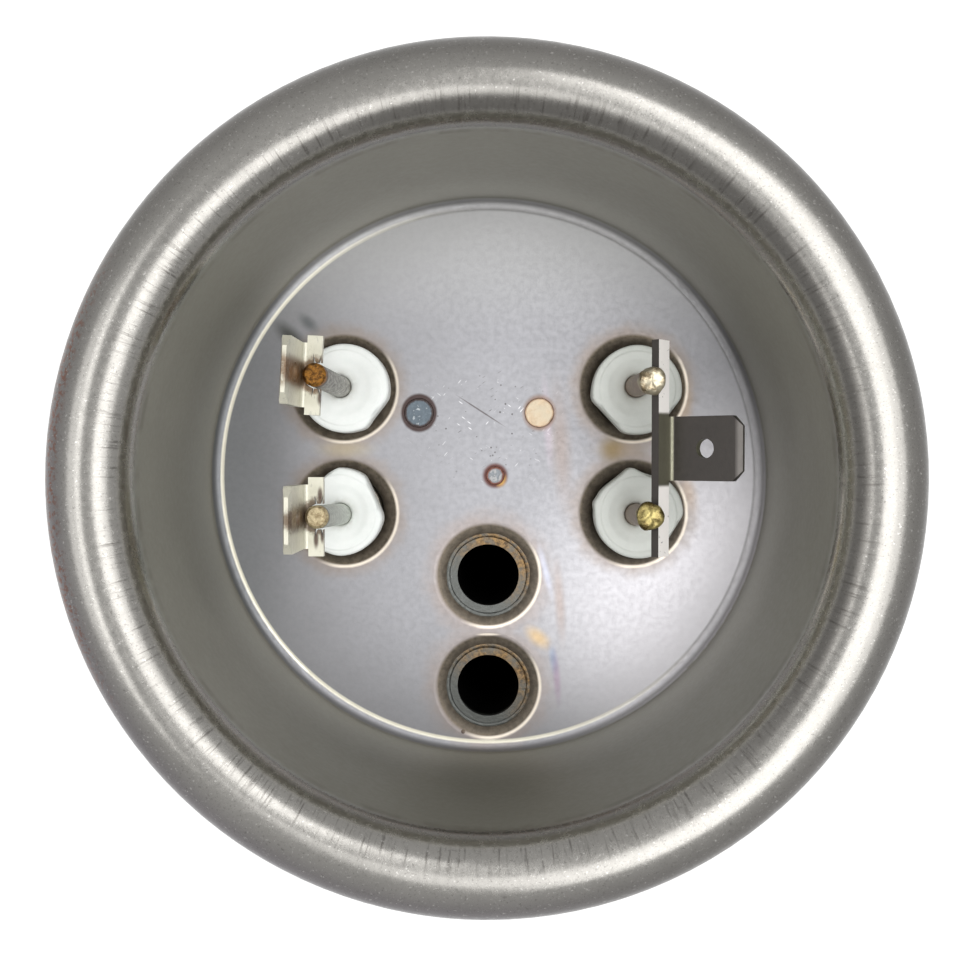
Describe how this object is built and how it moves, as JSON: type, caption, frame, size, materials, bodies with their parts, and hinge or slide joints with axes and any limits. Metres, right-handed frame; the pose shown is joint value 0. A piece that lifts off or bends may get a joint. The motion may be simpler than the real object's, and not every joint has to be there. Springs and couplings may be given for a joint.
{
  "type": "flanged water heater element",
  "caption": "Drawn stainless cup flange with a rolled rim, sheathed heating loops, closed sensor tubes, ceramic beads and push-on terminals.",
  "frame": {"origin": "on the axis of the cup's neck, where the straight neck meets the rolled rim", "axes": "+Z along the neck's axis, out of the dry side; +X to the right and +Y up as the dry side is seen with the sensor tubes at the bottom; the loops reach into the tank along -Z"},
  "size_m": [0.0768, 0.0768, 0.3251],
  "materials": {
    "drawn_stainless": "drawn, dull, with fine radial streaks, rust specks and heat tints",
    "tube_stainless": "drawn tube, satin, browned by brazing",
    "magnesia": "pressed powder",
    "resistance_wire": "dull oxidised wire",
    "pin_steel": "satin, yellowed at the tips",
    "steatite": "matt white ceramic",
    "silicone": "matt",
    "nickel_plate": "plated, with burnt brown weld marks",
    "dark_plate": "darkened plating with pale sheared edges",
    "brass_braze": "rough braze",
    "nickel_braze": "dull braze",
    "turned_stainless": "turned",
    "plug_steel": "dull, with a heat tint"
  },
  "bodies": {
    "root": {"flange_cup": "drawn_stainless", "heater_sheath_upper": "tube_stainless", "heater_sheath_lower": "tube_stainless", "magnesia_fill_upper": "magnesia", "magnesia_fill_lower": "magnesia", "heating_coil_upper": "resistance_wire", "heating_coil_lower": "resistance_wire", "terminal_pin_upper_left": "pin_steel", "terminal_pin_lower_left": "pin_steel", "terminal_pin_upper_right": "pin_steel", "terminal_pin_lower_right": "pin_steel", "ceramic_bead_upper_left": "steatite", "ceramic_bead_lower_left": "steatite", "ceramic_bead_upper_right": "steatite", "ceramic_bead_lower_right": "steatite", "end_seal_upper_left": "silicone", "end_seal_lower_left": "silicone", "end_seal_upper_right": "silicone", "end_seal_lower_right": "silicone", "sensor_tube_upper": "tube_stainless", "sensor_tube_lower": "tube_stainless", "blade_terminal_upper": "nickel_plate", "blade_terminal_lower": "nickel_plate", "bridge_terminal": "dark_plate", "braze_cap_upper": "brass_braze", "braze_cap_lower": "brass_braze", "sheath_braze_rings": "nickel_braze", "sensor_braze_rings": "nickel_braze", "anode_boss": "turned_stainless", "plate_plug_left": "plug_steel", "plate_plug_right": "plug_steel"}
  },
  "joints": []
}
